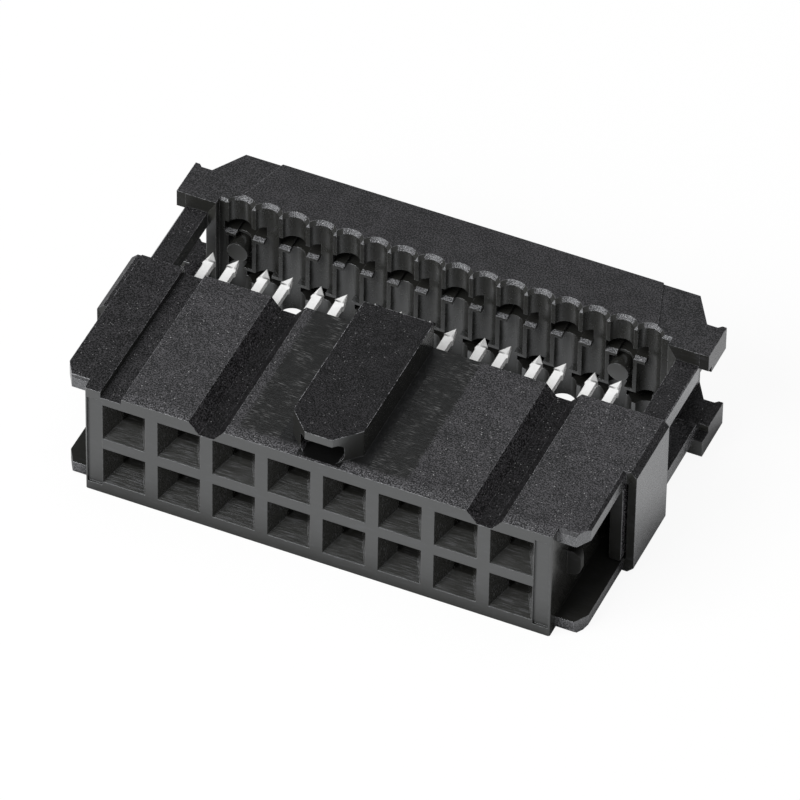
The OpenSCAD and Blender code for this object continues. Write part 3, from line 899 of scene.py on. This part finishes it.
def housing_finish(middle, way):
    """The finish of one face of the housing."""
    if way.y < -MOSTLY and (middle.y < FRONT + RECESS or middle.z > BROAD_SIDE + KEY_FOOT):
        return face
    found = end_finish(middle, way) if abs(middle.x) > END_WALL else None
    if not found and abs(way.z) > SQUARE:
        found = flat_finish(middle)
    if not found and way.z > LEANING and middle.z > BROAD_SIDE - SLOT_DEPTH:
        # Slot faces that do not turn to +X get the darker copy, as painted shade.
        found = slot if way.x > LEANING else slot_floor
    return found or ground


dress(housing_piece, housing_finish)

# %% [markdown]
# ## The finish of the cover
#
# The cover keeps its own mesh and only gets materials. At its ends, the legs and the ears are
# drawn on the outside, and the outer sides of the legs get a paler colour as painted light. The
# front of the legs is polished and the faces between are darker, except low down, where they take
# the paler finish of the wall's foot. On the inner wall, what slants forwards up or down is a bright
# rim or the ramp before a pocket. The wall itself shines more towards its foot, and so do the fronts
# of the two bosses; there its colour is paler as painted light. The back and the outer faces are
# grained.

# %% Finish of the cover's faces
COVER_HALF = cover_high.x / MM
COVER_TOP = cover_high.z / MM
COVER_BASE = cover_low.z / MM
COVER_REAR = cover_high.y / MM
LEG_FRONT = cover_low.y / MM
LEG_INNER = COVER_HALF - 1.52
WALL_FRONT = COVER_REAR - 4.0
BOSS_FRONT = COVER_REAR - 3.2
FLARE = 1.0
TALL_WALL = 2.4
LEG_PLAY = 0.05
SKIN_PLAY = 0.1
SLANTED = 0.3
RIM_TURN = 0.4
FORWARD = 0.7


def wall_finish(middle, way):
    """The finish of a face of the cover that looks to the housing."""
    if abs(way.z) > SLANTED:
        return rim if abs(way.x) < RIM_TURN else wall
    # The foot of the wall and the boss fronts take the paler finish, as painted light.
    if middle.z < FLARE or middle.y < BOSS_FRONT:
        return low_wall
    return tall_wall if middle.z < TALL_WALL else None


def cover_finish(middle, way):
    """The finish of one face of the cover."""
    at_end = abs(middle.x) > LEG_INNER
    if at_end and middle.x * way.x > 0 and abs(way.x) > MOSTLY:
        # The outer sides of the legs: a paler colour, as painted light.
        return rail if middle.y < WALL_FRONT else ear_side
    if at_end and way.y < -FORWARD:
        if middle.y < LEG_FRONT + LEG_PLAY:
            return face
        # Low on the legs' fronts: the paler finish of the wall's foot, as painted light.
        return dull if middle.z > MID_HEIGHT else low_wall
    found = wall_finish(middle, way) if way.y < -SLANTED else None
    if not found and way.y > SLANTED:
        found = cover_grain
    if not found and abs(way.z) > SQUARE:
        outer = min(abs(middle.z - COVER_TOP), abs(middle.z - COVER_BASE)) < SKIN_PLAY
        inner = satin if at_end else wall
        found = cover_grain if outer else inner
    return found or wall


dress(cover, cover_finish)

# %% [markdown]
# ## Coined points of the tines
#
# Each fork ends in two points that were pressed thinner on both sides of their middle line, so
# that they part the wires. The marks are small and shallow, and faces for them would have to be
# cut into all thirty-two points, so a bump gives them. One material serves all sixteen contacts:
# the forks repeat on the pitch, and a count that runs to and fro along the row gives the distance
# from the middle of the nearest fork. The forks of the two rows are shifted to opposite sides, so
# the shift changes its sign at mid height.

# %% Height of the coined points
PITCH = 2.54
FORK_SHIFT = 0.45
TINE = 0.61
TIP_Y = REAR + 2.9
TIP_LENGTH = 0.6
TIP_START = TIP_Y - TIP_LENGTH
TIP_FADE = 0.1
COINED = 0.8


def coined_tip(tree, place):
    """The height of a tine's point, pressed down on both sides of its middle line."""
    x, y, z = put(tree, "SeparateXYZ", {0: place})
    upper_row = maths(tree, "GREATER_THAN", z, MID_HEIGHT)
    shift = spread(tree, upper_row, 0.0, 1.0, -FORK_SHIFT, FORK_SHIFT)
    from_fork = maths(tree, "SUBTRACT", plus(tree, x, shift), PITCH / 2)
    aside = maths(tree, "PINGPONG", from_fork, PITCH / 2)
    from_middle = maths(tree, "ABSOLUTE", maths(tree, "SUBTRACT", aside, TINE))
    at_tip = spread(tree, y, TIP_START, TIP_START + TIP_FADE)
    return times(tree, times(tree, from_middle, at_tip), -COINED)


print("points begin behind the housing at, mm:", round(TIP_START - REAR, 2))

# %% [markdown]
# ## Tin-plated contacts
#
# The contacts are punched from thin sheet and plated with tin. Fresh matt tin is almost white and
# rather dull, more like satin than like a mirror. A true metal shader would mirror the dim room
# and turn grey, so a pale surface with a strong gloss is used. A fine lengthwise noise stands for
# the rolling marks of the strip, and the punched edges get a painted shade, darker in patches.

# %% Tin
TIN = 0.98
TIN_SHADE = 0.93
TIN_WARM = -0.01
TIN_IOR = 2.3
TIN_ROUGH = (0.38, 0.55)
TIN_CLOUDS_PER_MM = 4.0
ROLLED_PER_MM = (22.0, 2.0, 22.0)
ROLLED_HEIGHT = 0.006
# The grey, the patches and the share of the painted shade along the punched edges.
EDGE_SHADE_GREY = 0.12
EDGE_SHADE_CLOUDS = (0.35, 0.55)
EDGE_SHADE_SHARE = (0.1, 0.5)


def tin_plate(name):
    """Dull, nearly white plating on punched sheet, with painted shade along its edges."""
    material = bpy.data.materials.new(name)
    tree = new_tree(material)
    place = place_mm(tree)
    rolled = noise(tree, stretched(tree, place, ROLLED_PER_MM), 1.0, STREAK_DETAIL)
    clouds = noise(tree, place, TIN_CLOUDS_PER_MM)
    colour = blend(tree, spread(tree, clouds, *NOISE_MIDDLE), grey(TIN * TIN_SHADE, TIN_WARM), grey(TIN))
    rounded = soft_edges(tree)
    # Painted shade along the punched edges, in patches.
    edge_shade = times(tree, near_edge(tree, rounded), spread(tree, clouds, *EDGE_SHADE_CLOUDS, *EDGE_SHADE_SHARE))
    colour = blend(tree, edge_shade, colour, grey(EDGE_SHADE_GREY))
    roughness = spread(tree, rolled, *NOISE_MIDDLE, *TIN_ROUGH)
    height = plus(tree, coined_tip(tree, place), times(tree, rolled, ROLLED_HEIGHT))
    normal = bump(tree, height, MM, rounded)
    shader = put(tree, "BsdfPrincipled", {
        "Base Color": colour, "IOR": TIN_IOR, "Roughness": roughness, "Normal": normal})[0]
    put(tree, "OutputMaterial", {"Surface": shader})
    return material


tin = tin_plate("dull_tin")
contacts = [piece for name, piece in sorted(nodes.items()) if name.startswith("contact_")]
for piece in contacts:
    for plated in piece.material_slots:
        plated.material = tin
print("tin on", len(contacts), "contacts")
